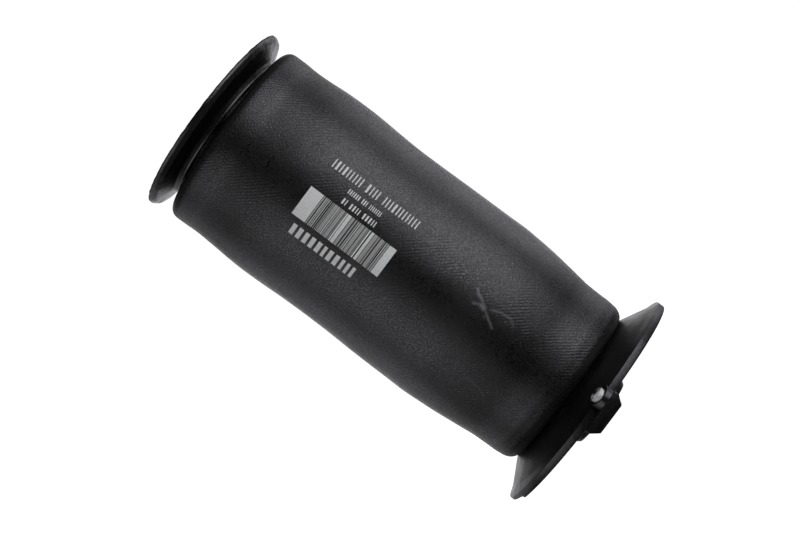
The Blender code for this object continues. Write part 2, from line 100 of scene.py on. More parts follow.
def fillet(outline, radii, steps=4):
    """Round the corners of a closed (radius, height) outline. A corner's radius is in metres.

    A corner on the axis, or one that is nearly straight, stays as it is.
    """
    points = []
    count = len(outline)
    for index, corner in enumerate(outline):
        radius = radii[index] if hasattr(radii, "__len__") else radii
        before = Vector(outline[index - 1])
        here = Vector(corner)
        after = Vector(outline[(index + 1) % count])
        back, ahead = before - here, after - here
        if radius <= 0 or here.x < ON_AXIS or back.angle(ahead) > NEARLY_STRAIGHT:
            points.append(tuple(here))
            continue
        longest = LONGEST_REACH * min(back.length, ahead.length)
        reach = min(radius / math.tan(back.angle(ahead) / 2), longest)
        start = here + back.normalized() * reach
        end = here + ahead.normalized() * reach
        for step in range(steps + 1):
            part = step / steps
            first = start.lerp(here, part)
            second = here.lerp(end, part)
            points.append(tuple(first.lerp(second, part)))
    return points


def subdivide(outline, longest):
    """Split long straight stretches, so that a surface can be shaped between its corners."""
    points = []
    for index, point in enumerate(outline):
        after = outline[(index + 1) % len(outline)]
        here, there = Vector(point), Vector(after)
        points.append(point)
        length = (there - here).length
        if here.x < ON_AXIS and there.x < ON_AXIS:
            continue
        parts = int(length // longest)
        for step in range(1, parts + 1):
            points.append(tuple(here.lerp(there, step / (parts + 1))))
    return points


def lathe_mesh(outline, steps, shape=None):
    """Closed turned body from a closed outline; points at radius 0 become single poles."""
    bm = bmesh.new()
    rings = []
    for radius, height in outline:
        if radius < ON_AXIS:
            rings.append([bm.verts.new((0.0, 0.0, height))])
            continue
        ring = []
        for step in range(steps):
            angle = math.tau * step / steps
            r, z = (radius, height) if shape is None else shape(radius, height, angle)
            ring.append(bm.verts.new((r * math.cos(angle), r * math.sin(angle), z)))
        rings.append(ring)
    for index, ring in enumerate(rings):
        other = rings[(index + 1) % len(rings)]
        if len(ring) == 1 and len(other) == 1:
            continue
        for step in range(steps):
            ahead = (step + 1) % steps
            corners = [ring[step % len(ring)], ring[ahead % len(ring)],
                       other[ahead % len(other)], other[step % len(other)]]
            unique = list(dict.fromkeys(corners))
            bm.faces.new(unique)
    return bm


def lathe(name, outline, steps, material, body, place=(0, 0, 0), shape=None, sharp=SHARP):
    bm = lathe_mesh(outline, steps, shape)
    bmesh.ops.translate(bm, vec=place, verts=bm.verts)
    return new_object(name, bm, material, body, sharp)


def prism_mesh(outline, low, high, axis):
    """Extrude a 2-D outline along x, y or z."""
    order = {"x": lambda a, b, c: (c, a, b), "y": lambda a, b, c: (a, c, b),
             "z": lambda a, b, c: (a, b, c)}[axis]
    bm = bmesh.new()
    first = [bm.verts.new(order(a, b, low)) for a, b in outline]
    second = [bm.verts.new(order(a, b, high)) for a, b in outline]
    bm.faces.new(first)
    bm.faces.new(second)
    count = len(outline)
    for i in range(count):
        bm.faces.new((first[i], first[(i + 1) % count], second[(i + 1) % count], second[i]))
    bmesh.ops.recalc_face_normals(bm, faces=bm.faces)
    return bm


def circle(radius, steps, centre):
    return [(centre[0] + radius * math.cos(math.tau * i / steps),
             centre[1] + radius * math.sin(math.tau * i / steps)) for i in range(steps)]


def tool(name, bm):
    """A shape for a Boolean; it is deleted once applied."""
    mesh = bpy.data.meshes.new(name)
    bm.to_mesh(mesh)
    bm.free()
    obj = bpy.data.objects.new(name, mesh)
    bpy.context.scene.collection.objects.link(obj)
    return obj


def combine(target, tools):
    """Apply (operation, tool) Booleans in turn, then delete the tools."""
    for operation, other in tools:
        modifier = target.modifiers.new("combine", "BOOLEAN")
        modifier.operation = operation
        modifier.solver = "EXACT"
        modifier.object = other
    apply_modifiers(target)
    for _, other in tools:
        bpy.data.objects.remove(other, do_unlink=True)


def apply_modifiers(obj):
    graph = bpy.context.evaluated_depsgraph_get()
    made = bpy.data.meshes.new_from_object(obj.evaluated_get(graph))
    obj.modifiers.clear()
    old = obj.data
    obj.data = made
    bpy.data.meshes.remove(old)


def bevel(obj, width, segments=3, angle=30.0):
    modifier = obj.modifiers.new("edges", "BEVEL")
    modifier.width = width
    modifier.segments = segments
    modifier.limit_method = "ANGLE"
    modifier.angle_limit = math.radians(angle)
    modifier.harden_normals = False
    apply_modifiers(obj)


def to_piece(obj, material, body):
    """Finish a shape that Booleans or a bevel have changed as a piece that rides on a CAD body."""
    obj.data.shade_smooth()
    obj.data.set_sharp_from_angle(angle=math.radians(SHARP))
    obj.data.materials.clear()
    obj.data.materials.append(material)
    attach(obj, body)


# ---------------------------------------------------------------- materials

class Nodes:
    """Short calls for building a node tree."""

    def __init__(self, name):
        self.material = bpy.data.materials.new(name)
        self.material.use_nodes = True
        self.tree = self.material.node_tree
        self.shader = self.tree.nodes["Principled BSDF"]
        self.place = self.tree.nodes.new("ShaderNodeTexCoord").outputs["Object"]

    def link(self, source, target):
        self.tree.links.new(source, target)

    def feed(self, socket, value):
        if isinstance(value, bpy.types.NodeSocket):
            self.link(value, socket)
        elif value is not None:
            socket.default_value = value

    def math(self, operation, a, b=None, clamp=False):
        node = self.tree.nodes.new("ShaderNodeMath")
        node.operation = operation
        node.use_clamp = clamp
        for socket, value in zip(node.inputs, (a, b)):
            self.feed(socket, value)
        return node.outputs[0]

    def noise(self, scale, detail=3.0, rough=0.55, where=None, distortion=0.0):
        node = self.tree.nodes.new("ShaderNodeTexNoise")
        self.feed(node.inputs["Vector"], where or self.place)
        node.inputs["Scale"].default_value = scale
        node.inputs["Detail"].default_value = detail
        node.inputs["Roughness"].default_value = rough
        node.inputs["Distortion"].default_value = distortion
        return node.outputs["Fac"]

    def cells(self, scale):
        """Distance to the nearest of many scattered points."""
        node = self.tree.nodes.new("ShaderNodeTexVoronoi")
        self.feed(node.inputs["Vector"], self.place)
        node.inputs["Scale"].default_value = scale
        return node.outputs["Distance"]

    def ramp(self, value, low, high, start=0.0, end=1.0):
        node = self.tree.nodes.new("ShaderNodeMapRange")
        node.clamp = True
        self.feed(node.inputs["Value"], value)
        node.inputs["From Min"].default_value = low
        node.inputs["From Max"].default_value = high
        node.inputs["To Min"].default_value = start
        node.inputs["To Max"].default_value = end
        return node.outputs["Result"]

    def mix(self, amount, first, second):
        node = self.tree.nodes.new("ShaderNodeMix")
        node.data_type = "RGBA"
        self.feed(node.inputs["Factor"], amount)
        sockets = [socket for socket in node.inputs if socket.type == "RGBA"]
        for socket, value in zip(sockets, (first, second)):
            self.feed(socket, value if isinstance(value, bpy.types.NodeSocket) else (*value, 1.0))
        return next(socket for socket in node.outputs if socket.type == "RGBA")

    def split(self):
        node = self.tree.nodes.new("ShaderNodeSeparateXYZ")
        self.link(self.place, node.inputs[0])
        return node.outputs

    def join(self, x=0.0, y=0.0, z=0.0):
        node = self.tree.nodes.new("ShaderNodeCombineXYZ")
        for socket, value in zip(node.inputs, (x, y, z)):
            self.feed(socket, value)
        return node.outputs[0]

    def vector(self, operation, a, b=None, scale=None):
        node = self.tree.nodes.new("ShaderNodeVectorMath")
        node.operation = operation
        self.feed(node.inputs[0], a)
        self.feed(node.inputs[1], b)
        if scale is not None:
            self.feed(next(socket for socket in node.inputs if socket.name == "Scale"), scale)
        return node.outputs["Value" if operation in ("DOT_PRODUCT", "LENGTH") else "Vector"]

    def segment(self, spot, start, end):
        """Distance from a point of the plane to a straight line between two points."""
        run = Vector((end[0] - start[0], end[1] - start[1], 0.0))
        offset = self.vector("SUBTRACT", spot, (*start, 0.0))
        along = self.math("DIVIDE", self.vector("DOT_PRODUCT", offset, tuple(run)),
                          run.length_squared, clamp=True)
        nearest = self.vector("SCALE", tuple(run), scale=along)
        return self.vector("LENGTH", self.vector("SUBTRACT", offset, nearest))

    def bump(self, height, distance, strength, after=None):
        node = self.tree.nodes.new("ShaderNodeBump")
        node.inputs["Strength"].default_value = strength
        node.inputs["Distance"].default_value = distance
        self.feed(node.inputs["Height"], height)
        if after is not None:
            self.link(after, node.inputs["Normal"])
        return node.outputs["Normal"]

    def finish(self, colour, roughness, normal=None, metallic=0.0, **constants):
        self.feed(self.shader.inputs["Base Color"],
                  colour if isinstance(colour, bpy.types.NodeSocket) else (*colour, 1.0))
        self.feed(self.shader.inputs["Roughness"], roughness)
        self.shader.inputs["Metallic"].default_value = metallic
        if normal is not None:
            self.link(normal, self.shader.inputs["Normal"])
        for name, value in constants.items():
            self.shader.inputs[name.replace("_", " ")].default_value = value
        return self.material


def moulded_plastic(name, colour, worn):
    """Satin glass-filled nylon: fine mould grain, slight flow marks, dusty and rubbed patches."""
    n = Nodes(name)
    grain = n.noise(2600, 2.0, 0.6)
    flow = n.noise(38, 4.0, 0.55, distortion=0.6)
    patches = n.noise(85, 5.0, 0.6)
    pitting = n.noise(420, 2.0, 0.6)
    specks = n.ramp(n.noise(900, 2.0, 0.5), 0.66, 0.74)
    base = n.mix(n.ramp(flow, 0.35, 0.7), colour, [c * 1.5 for c in colour])
    base = n.mix(n.math("MULTIPLY", n.ramp(patches, 0.58, 0.75), 0.35), base, worn)
    base = n.mix(n.ramp(pitting, 0.50, 0.70, 0.0, 0.5), base, worn)
    base = n.mix(n.math("MULTIPLY", specks, 0.35), base, [c * 1.2 for c in worn])
    roughness = n.math("ADD", n.ramp(patches, 0.3, 0.7, 0.28, 0.43), n.ramp(grain, 0.3, 0.7, -0.04, 0.04))
    normal = n.bump(flow, 0.0004, 0.25)
    normal = n.bump(pitting, 0.00030, 0.5, normal)
    normal = n.bump(grain, 0.00006, 0.5, normal)
    return n.finish(base, roughness, normal, Specular_IOR_Level=0.5)


def smooth_rubber(name, colour):
    n = Nodes(name)
    bloom = n.noise(120, 4.0, 0.6)
    grain = n.noise(3200, 2.0, 0.6)
    base = n.mix(n.ramp(bloom, 0.4, 0.75), colour, [c * 1.9 for c in colour])
    roughness = n.ramp(bloom, 0.3, 0.7, 0.5, 0.66)
    return n.finish(base, roughness, n.bump(grain, 0.00004, 0.6), Specular_IOR_Level=0.4)


def metal(name, colour, dull, rough):
    """Plated or machined metal: turning marks about an upright axis, and dull spots."""
    n = Nodes(name)
    spots = n.noise(420, 4.0, 0.6)
    x, y, z = n.split()
    stretched = n.join(n.math("MULTIPLY", x, 60.0), n.math("MULTIPLY", y, 60.0),
                       n.math("MULTIPLY", z, 5200.0))
    marks = n.noise(1.0, 2.0, 0.5, where=stretched)
    base = n.mix(n.ramp(spots, 0.45, 0.75), colour, dull)
    roughness = n.math("ADD", n.ramp(spots, 0.35, 0.7, rough - 0.05, rough + 0.12),
                       n.ramp(marks, 0.3, 0.7, -0.05, 0.05))
    return n.finish(base, roughness, n.bump(marks, 0.00003, 0.5), metallic=1.0)


def dull_zinc(name, colour, dull):
    """Zinc with a chalky bloom, which scatters light like paint."""
    n = Nodes(name)
    spots = n.noise(500, 4.0, 0.6)
    grain = n.noise(2400, 2.0, 0.6)
    base = n.mix(n.ramp(spots, 0.4, 0.75), colour, dull)
    return n.finish(base, n.ramp(spots, 0.3, 0.7, 0.5, 0.65), n.bump(grain, 0.00003, 0.5), metallic=0.25)


def cellular_foam(name, colour, dark):
    n = Nodes(name)
    cells = n.cells(900)
    patches = n.noise(60, 4.0, 0.6)
    base = n.mix(n.ramp(patches, 0.35, 0.7), colour, dark)
    # painted shade: the pores, which the bump below sinks in, are painted darker
    base = n.mix(n.ramp(cells, 0.10, 0.0), base, [c * 0.55 for c in dark])
    return n.finish(base, n.ramp(patches, 0.3, 0.7, 0.7, 0.85), n.bump(cells, 0.0002, 0.5))


def bright_plastic(name, colour):
    n = Nodes(name)
    flow = n.noise(180, 3.0, 0.5)
    grain = n.noise(2400, 2.0, 0.5)
    base = n.mix(n.ramp(flow, 0.35, 0.7), colour, [c * 0.8 for c in colour])
    return n.finish(base, n.ramp(flow, 0.3, 0.7, 0.30, 0.42), n.bump(grain, 0.00003, 0.4))


SKIN_RADIUS = 0.0695                     # places round the skin's pattern are measured at this radius
MAIN_PLY = (42.0, 0.0021)                # how far its cords lean, in degrees, and their spacing
CROSS_PLY = (-41.0, 0.0022)
CORD_WOBBLE = 0.0016
# pale rub marks on the front of the skin: half width, strength and course. Widths and places are in
# millimetres, and a place is (round the skin from -Y towards +X, height)
SCUFFS = (
    (1.50, 0.85, ((16.1, 120.1), (13.5, 118.0), (12.1, 114.2))),
    (1.70, 0.55, ((12.1, 114.2), (8.4, 109.0))),
    (1.70, 0.60, ((6.8, 117.0), (8.6, 112.6))),
    (2.40, 1.00, ((8.8, 111.6), (7.8, 109.4))),
    (1.30, 0.62, ((6.8, 107.2), (3.4, 101.8), (2.3, 99.7), (0.8, 97.8))),
    (1.30, 0.50, ((10.0, 105.2), (12.5, 98.8), (12.9, 95.5), (13.5, 91.3))),
    (1.20, 0.34, ((11.9, 89.9), (10.8, 87.0))),
    (0.75, 1.00, ((9.5, 92.7), (9.3, 92.5))),
    (1.30, 0.36, ((3.8, 106.4), (3.5, 106.0))),
    (2.20, 0.10, ((-46.0, 213.0), (-50.5, 212.5))),
    (1.40, 0.16, ((-37.5, 91.0), (-38.5, 84.0), (-41.5, 75.0))),
)


def rub_marks(n, around, z):
    """How pale the skin is rubbed, along each course of SCUFFS, with ragged edges."""
    spot = n.join(n.math("DIVIDE", around, MM), n.math("DIVIDE", z, MM))
    ragged = n.math("MULTIPLY", n.math("SUBTRACT", n.noise(900, 3.0, 0.7), 0.5), 2.2)
    marks = None
    for width, pale, course in SCUFFS:
        for start, end in zip(course, course[1:]):
            away = n.math("ADD", n.segment(spot, start, end), ragged)
            mark = n.ramp(away, 0.0, width, pale, 0.0)
            marks = mark if marks is None else n.math("MAXIMUM", marks, mark)
    return marks


def cord_rubber(name):
    """Matte black rubber with the crossed cord plies showing through, dust and scuffs."""
    n = Nodes(name)
    x, y, z = n.split()
    angle = n.math("ARCTAN2", x, n.math("MULTIPLY", y, -1.0))   # 0 at -Y, growing towards +X
    around = n.math("MULTIPLY", angle, SKIN_RADIUS)

    def ply(lean, pitch):
        """Slightly wavy bands of cord that lean from the axis; lean is in degrees."""
        lean = math.radians(lean)
        across = n.math("ADD", n.math("MULTIPLY", around, math.cos(lean)),
                        n.math("MULTIPLY", z, math.sin(lean)))
        bent = n.math("ADD", across, n.math("MULTIPLY", n.noise(130, 3.0, 0.65), CORD_WOBBLE))
        return n.math("SINE", n.math("MULTIPLY", bent, math.tau / pitch))

    strength = n.ramp(n.noise(42, 4.0, 0.65), 0.42, 0.66, 0.10, 1.0)
    crossing = n.ramp(n.noise(36, 4.0, 0.65, distortion=0.4), 0.50, 0.70, 0.0, 0.5)
    main_ply = n.math("MULTIPLY", ply(*MAIN_PLY), strength)
    cross_ply = n.math("MULTIPLY", ply(*CROSS_PLY), crossing)
    plies = n.math("ADD", main_ply, cross_ply)
    grain = n.noise(1300, 1.0, 0.7)
    fine = n.noise(3600, 2.0, 0.6)
    dust = n.noise(34, 5.0, 0.62)

    base = n.mix(n.ramp(dust, 0.35, 0.72), (0.0018, 0.0018, 0.0020), (0.0036, 0.0036, 0.0039))
    base = n.mix(n.ramp(plies, -0.2, 1.3, 0.0, 0.30), base, (0.0105, 0.0105, 0.0112))
    base = n.mix(n.ramp(grain, 0.47, 0.68, 0.0, 0.36), base, (0.0200, 0.0200, 0.0212))
    base = n.mix(rub_marks(n, around, z), base, (0.20, 0.20, 0.205))
    roughness = n.math("ADD", n.ramp(dust, 0.3, 0.7, 0.33, 0.41), n.ramp(grain, 0.36, 0.64, -0.14, 0.16))
    roughness = n.math("ADD", roughness, n.ramp(plies, -1.0, 1.0, 0.03, -0.03))

    normal = n.bump(plies, 0.00008, 0.5)
    normal = n.bump(grain, 0.00027, 0.75, normal)
    normal = n.bump(fine, 0.00003, 0.4, normal)
    return n.finish(base, roughness, normal, Specular_IOR_Level=0.5)


def print_ink(name, tone):
    """Pale grey stamped ink, thin where the rubber's grain shows through."""
    n = Nodes(name)
    grain = n.noise(700, 4.0, 0.75)
    worn = n.noise(600, 4.0, 0.7)
    colour = (tone * 0.985, tone, tone * 0.965)
    base = n.mix(n.ramp(worn, 0.35, 0.7), colour, [c * 0.86 for c in colour])
    base = n.mix(n.ramp(grain, 0.60, 0.75, 0.0, 0.6), base, [c * 0.35 for c in colour])
    return n.finish(base, 0.6, n.bump(grain, 0.0001, 0.4), Specular_IOR_Level=0.3)


# ---------------------------------------------------------------- camera, floor and light

CAMERA_PLACE = (0.0, -1.288, 0.1374)
CAMERA_TARGET = (-0.0036, 0.0, 0.1712)
CAMERA_ROLL = math.radians(-52.94)
CAMERA_LENS = 84.0                       # millimetres, as the sensor's width
SENSOR_WIDTH = 36.0

WHITE = 1.05                             # strength of what the camera sees behind the spring
FLOOR_REACH = 6.0

# the world as light, by the direction it comes from: each part is a smooth step, given as
# where it starts, where it is full, and its strength at both ends
WORLD_BEHIND = (0.60, 0.98, 0.003, 0.42)     # along +Y
WORLD_STEEP = (0.35, 0.85, 0.0, 0.11)        # up or down

# soft boxes that stand upright round the spring, at one distance and one height. Their turn is in
# degrees: 0 is the camera's side and 90 is +X. Their size is width and height, and power is in watts
LIGHT_DISTANCE = 1.1
LIGHT_HEIGHT = 0.19
LIGHT_TARGET = (0.0, 0.0, 0.18)
LIGHT_COLOUR = (1.0, 0.99, 1.05)
LIGHTS = (                               # name, turn, size, power
    ("key", 52.0, (1.16, 0.60), 8.3),
    ("fill", -58.0, (1.15, 0.60), 3.5),
    ("rim_right", 118.0, (0.85, 0.60), 2.1),
    ("rim_left", -118.0, (0.85, 0.60), 1.0),
    ("behind", 180.0, (1.10, 0.50), 1.3),
)


def look_from(place, target, roll):
    """Matrix of a camera at place, facing target, turned about its view by roll."""
    direction = Vector(target) - Vector(place)
    turn = direction.to_track_quat("-Z", "Y").to_matrix().to_4x4()
    return Matrix.Translation(place) @ turn @ Matrix.Rotation(roll, 4, "Z")


def build_camera():
    """The view looks level at the spring's side, rolled so that the top plate is at the upper left."""
    data = bpy.data.cameras.new("camera")
    data.lens = CAMERA_LENS
    data.sensor_width = SENSOR_WIDTH
    data.clip_start = 0.01
    data.clip_end = 50.0
    camera = bpy.data.objects.new("camera", data)
    bpy.context.scene.collection.objects.link(camera)
    camera.matrix_world = look_from(CAMERA_PLACE, CAMERA_TARGET, CAMERA_ROLL)
    bpy.context.scene.camera = camera


def build_stage():
    """A floor of plain white paper. It shows to the camera, and casts no light on the spring."""
    n = Nodes("floor_paper")
    mottle = n.noise(6.0, 3.0, 0.5)
    paper = n.mix(mottle, (0.97, 0.97, 0.97), (1.0, 1.0, 1.0))
    n.finish(paper, 0.9)
    n.link(paper, n.shader.inputs["Emission Color"])
    n.shader.inputs["Emission Strength"].default_value = WHITE
    bm = bmesh.new()
    bmesh.ops.create_grid(bm, x_segments=8, y_segments=8, size=FLOOR_REACH)
    mesh = bpy.data.meshes.new("floor")
    bm.to_mesh(mesh)
    bm.free()
    mesh.materials.append(n.material)
    floor = bpy.data.objects.new("floor", mesh)
    floor.visible_diffuse = False
    floor.visible_glossy = False
    bpy.context.scene.collection.objects.link(floor)


def area_light(name, turn, size, power):
    turn = math.radians(turn)
    place = (LIGHT_DISTANCE * math.sin(turn), -LIGHT_DISTANCE * math.cos(turn), LIGHT_HEIGHT)
    data = bpy.data.lights.new(name, "AREA")
    data.shape = "RECTANGLE"
    data.size, data.size_y = size
    data.energy = power
    data.color = LIGHT_COLOUR
    light = bpy.data.objects.new(name, data)
    bpy.context.scene.collection.objects.link(light)
    light.matrix_world = look_from(place, LIGHT_TARGET, 0.0)


def smooth_step(tree, value, low, high, start, end):
    node = tree.nodes.new("ShaderNodeMapRange")
    node.interpolation_type = "SMOOTHSTEP"
    tree.links.new(value, node.inputs["Value"])
    for name, number in (("From Min", low), ("From Max", high), ("To Min", start), ("To Max", end)):
        node.inputs[name].default_value = number
    return node.outputs["Result"]


def world_math(tree, operation, *values):
    node = tree.nodes.new("ShaderNodeMath")
    node.operation = operation
    for socket, value in zip(node.inputs, values):
        tree.links.new(value, socket)
    return node.outputs[0]


def build_world():
    """White where the camera sees it; as light, dim in front and bright behind the spring."""
    world = bpy.data.worlds.new("studio")
    world.use_nodes = True
    tree = world.node_tree
    direction = tree.nodes.new("ShaderNodeTexCoord")
    split = tree.nodes.new("ShaderNodeSeparateXYZ")
    tree.links.new(direction.outputs["Generated"], split.inputs[0])
    behind = smooth_step(tree, split.outputs["Y"], *WORLD_BEHIND)
    steep = smooth_step(tree, world_math(tree, "ABSOLUTE", split.outputs["Z"]), *WORLD_STEEP)
    path = tree.nodes.new("ShaderNodeLightPath")
    strength = tree.nodes.new("ShaderNodeMix")
    strength.data_type = "FLOAT"
    tree.links.new(path.outputs["Is Camera Ray"], strength.inputs[0])
    tree.links.new(world_math(tree, "ADD", behind, steep), strength.inputs[2])
    strength.inputs[3].default_value = WHITE
    background = tree.nodes["Background"]
    tree.links.new(strength.outputs[0], background.inputs["Strength"])
    background.inputs["Color"].default_value = (1.0, 1.0, 1.0, 1.0)
    bpy.context.scene.world = world


def build_lights():
    build_world()
    for light in LIGHTS:
        area_light(*light)
    bpy.context.scene.view_settings.view_transform = "Standard"


# ---------------------------------------------------------------- sleeve

# a fold is a squared arc: centre radius, centre height, half width, half height (metres), squareness
LOWER_FOLD = (0.0576, 0.0390, 0.0064, 0.0097, 1.85)
UPPER_FOLD = (0.0552, 0.3122, 0.0142, 0.0090, 3.0)
LARGER_FOLD_STEPS = 10                   # how many more steps the upper fold takes than the lower one
SLEEVE_WALL = 0.0028
CUFF_OVERLAP = (0.0012, 0.0027)          # how far the lower and the upper cuff pass the crimp rings
# the wall between the folds: (height, radius)
SLEEVE_STATIONS = ((0.0390, 0.0640), (0.0440, 0.0645), (0.0485, 0.0645), (0.0620, 0.0650),
                   (0.0760, 0.0667), (0.0900, 0.0683), (0.1040, 0.0694), (0.1175, 0.0700),
                   (0.1310, 0.0698), (0.1450, 0.0696), (0.1720, 0.0694), (0.2000, 0.0691),
                   (0.2280, 0.0698), (0.2420, 0.0703), (0.2550, 0.0706), (0.2690, 0.0704),
                   (0.2830, 0.0696), (0.2970, 0.0690), (0.3050, 0.0693), (0.3122, 0.0694))
UNEVEN_FROM, UNEVEN_TO = 0.028, 0.326    # heights between which the wall is uneven
UNEVEN_FADE = 0.02
WAVE_LONG, WAVE_SHORT = 0.00055, 0.00018     # how far the long and the short waves reach
WAVE_ROUND, WAVE_UP = 1.6, 16.0          # how quickly the long waves change round the sleeve and up it
WAVE_QUICKER = 2.7                       # how many times as quickly the short waves change
SAG_FROM, SAG_REACH = 0.285, 0.030       # the upper fold's sag starts here and is full this much higher
SAG_SIDES, SAG_LEAN = 0.0012, 0.0007     # how far its two sides rise, and how far it leans up to +X
EVEN_MARGIN = 0.0004                     # the skin is even up to this far outside the lower fold's middle
CUFF_EDGE, CUFF_CELL = 0.0004, 0.004     # rounding of a cuff's corners, and longest cell of its mesh


def smooth_profile(stations, height):
    """Catmull-Rom curve through (height, radius) stations."""
    last = len(stations) - 1
    index = max(i for i in range(last) if stations[i][0] <= height or i == 0)
    (h0, r0), (h1, r1) = stations[index], stations[index + 1]
    before = stations[max(index - 1, 0)]
    after = stations[min(index + 2, last)]
    part = min(max((height - h0) / (h1 - h0), 0.0), 1.0)
    slope0 = (r1 - before[1]) / (h1 - before[0]) * (h1 - h0)
    slope1 = (after[1] - r0) / (after[0] - h0) * (h1 - h0)
    p2, p3 = part * part, part ** 3
    return (r0 * (2 * p3 - 3 * p2 + 1) + slope0 * (p3 - 2 * p2 + part)
            + r1 * (3 * p2 - 2 * p3) + slope1 * (p3 - p2))


def fold_arc(fold, inset, start, end, steps):
    centre_r, centre_z, width, height, square = fold
    points = []
    for step in range(steps + 1):
        angle = math.radians(start + (end - start) * step / steps)
        across, up = math.cos(angle), math.sin(angle)
        points.append((centre_r + (width - inset) * math.copysign(abs(across) ** (2 / square), across),
                       centre_z + (height - inset) * math.copysign(abs(up) ** (2 / square), up)))
    return points


def skin_face(inset, wall_steps, arc_steps):
    """One face of the free skin, from the lower fold's inner side to the upper fold's."""
    lower = fold_arc(LOWER_FOLD, inset, 180, 360, arc_steps)
    upper = fold_arc(UPPER_FOLD, inset, 0, 180, arc_steps + LARGER_FOLD_STEPS)
    low, high = LOWER_FOLD[1], UPPER_FOLD[1]
    wall = [low + (high - low) * step / wall_steps for step in range(1, wall_steps)]
    return lower + [(smooth_profile(SLEEVE_STATIONS, z) - inset, z) for z in wall] + upper


def sleeve_shape(radius, height, angle):
    """Slight unevenness of the soft wall: long shallow waves, fading out at the clamps.

    The upper fold also stands a little higher at its two sides than at the front and the back,
    and highest at +X.
    """
    if radius < LOWER_FOLD[0] + EVEN_MARGIN:
        return radius, height
    spot = Vector((math.cos(angle) * WAVE_ROUND, math.sin(angle) * WAVE_ROUND, height * WAVE_UP))
    wave = noise.noise(spot) * WAVE_LONG + noise.noise(spot * WAVE_QUICKER) * WAVE_SHORT
    reach = min((height - UNEVEN_FROM) / UNEVEN_FADE, (UNEVEN_TO - height) / UNEVEN_FADE, 1.0)
    upper = min(max((height - SAG_FROM) / SAG_REACH, 0.0), 1.0) ** 2
    sag = SAG_SIDES * math.cos(2 * angle) + SAG_LEAN * math.cos(angle)
    return radius + wave * max(reach, 0.0), height + sag * upper


def build_bellows(rubber, inside, inks):
    """The free skin rides on no body; the two clamped cuffs ride on the lower and the upper body."""
    outside = skin_face(0.0, wall_steps=150, arc_steps=16)
    outline = outside + skin_face(SLEEVE_WALL, wall_steps=60, arc_steps=12)[::-1]
    skin = lathe("sleeve_skin", outline, 240, rubber, None, shape=sleeve_shape,
                 sharp=SHARP_SOFT)
    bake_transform(skin)
    cuffs = []
    lower_end = top_of("lower_crimp_ring") + CUFF_OVERLAP[0]
    upper_end = bottom_of("upper_crimp_ring") - CUFF_OVERLAP[1]
    for name, fold, end, body in (("sleeve_lower_cuff", LOWER_FOLD, lower_end, "lower"),
                                  ("sleeve_upper_cuff", UPPER_FOLD, upper_end, "upper")):
        inner = fold[0] - fold[2]
        outer = inner + SLEEVE_WALL
        low, high = sorted((fold[1], end))
        outline = fillet([(inner, low), (outer, low), (outer, high), (inner, high)], CUFF_EDGE, 2)
        cuffs.append(lathe(name, subdivide(outline, CUFF_CELL), 128, inside, body))
    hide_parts("bellows")
    for cuff in cuffs:
        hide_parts("bellows")
    build_print(*inks)


def skin_radius(height, angle):
    return sleeve_shape(smooth_profile(SLEEVE_STATIONS, height), height, angle)[0]


# the print: heights, and places round the skin from -Y towards +X, in metres
PRINT_RADIUS = 0.0700                    # places round the skin are measured at this radius
PRINT_LIFT = 0.00006
PRINT_ROOT = -0.0002                     # the pads' backs are this far inside the skin
PAD_HEIGHT, PAD_WIDTH = 0.0035, 0.0022   # largest cell of a pad's mesh

BAR_BLOCK = {"top": 0.2475, "bottom": 0.1775, "left": -0.0180, "right": 0.0040}
BAR_WIDTHS = (0.0005, 0.0006, 0.0010, 0.0020, 0.0026)
BAR_SPACES = (0.0004, 0.0005, 0.0006, 0.0009)
UPPER_BLANK, LOWER_BLANK = 0.0104, 0.0055
BLANK_SPACES = (0.0004, 0.0004, 0.0009)  # below the upper one, above the lower one, least for a bar
SOLID_SHARE = 0.18

# rows of ticks: span of heights, left, right, tick widths, space between ticks, ticks in each group
TICK_ROWS = (
    ((0.2452, 0.1765), 0.0225, 0.0294, (0.0008, 0.0008, 0.0014), 0.0017, (9, 4, 11)),
    ((0.2263, 0.2000), 0.0147, 0.0183, (0.0006, 0.0009), 0.0009, (6, 3, 7)),
    ((0.2256, 0.1988), 0.0068, 0.0110, (0.0007, 0.0012), 0.0011, (2, 4, 5)),
    ((0.2422, 0.1915), -0.0301, -0.0224, (0.0022, 0.0030), 0.0019, (11,)),
)
PRINT_SEED = 7
GROUP_SPACE = 1.6                        # extra space after a group, in spaces between ticks


def pad(bm, top, bottom, left, right):
    """A thin closed pad of ink: its heights, and its places round the skin from -Y towards +X."""
    rows = max(1, round((top - bottom) / PAD_HEIGHT))
    columns = max(1, round((right - left) / PAD_WIDTH))
    layers = []
    for above in (PRINT_ROOT, PRINT_LIFT):
        grid = []
        for i in range(rows + 1):
            z = bottom + (top - bottom) * i / rows
            row = []
            for j in range(columns + 1):
                angle = (left + (right - left) * j / columns) / PRINT_RADIUS - math.pi / 2
                r = skin_radius(z, angle) + above
                row.append(bm.verts.new((r * math.cos(angle), r * math.sin(angle), z)))
            grid.append(row)
        layers.append(grid)
    low, high = layers
    for i in range(rows):
        for j in range(columns):
            bm.faces.new((high[i][j], high[i][j + 1], high[i + 1][j + 1], high[i + 1][j]))
            bm.faces.new((low[i][j], low[i + 1][j], low[i + 1][j + 1], low[i][j + 1]))
    edge = ([(i, 0) for i in range(rows)] + [(rows, j) for j in range(columns)]
            + [(i, columns) for i in range(rows, 0, -1)] + [(0, j) for j in range(columns, 0, -1)])
    for (a, b), (c, d) in zip(edge, edge[1:] + edge[:1]):
        bm.faces.new((low[a][b], low[c][d], high[c][d], high[a][b]))


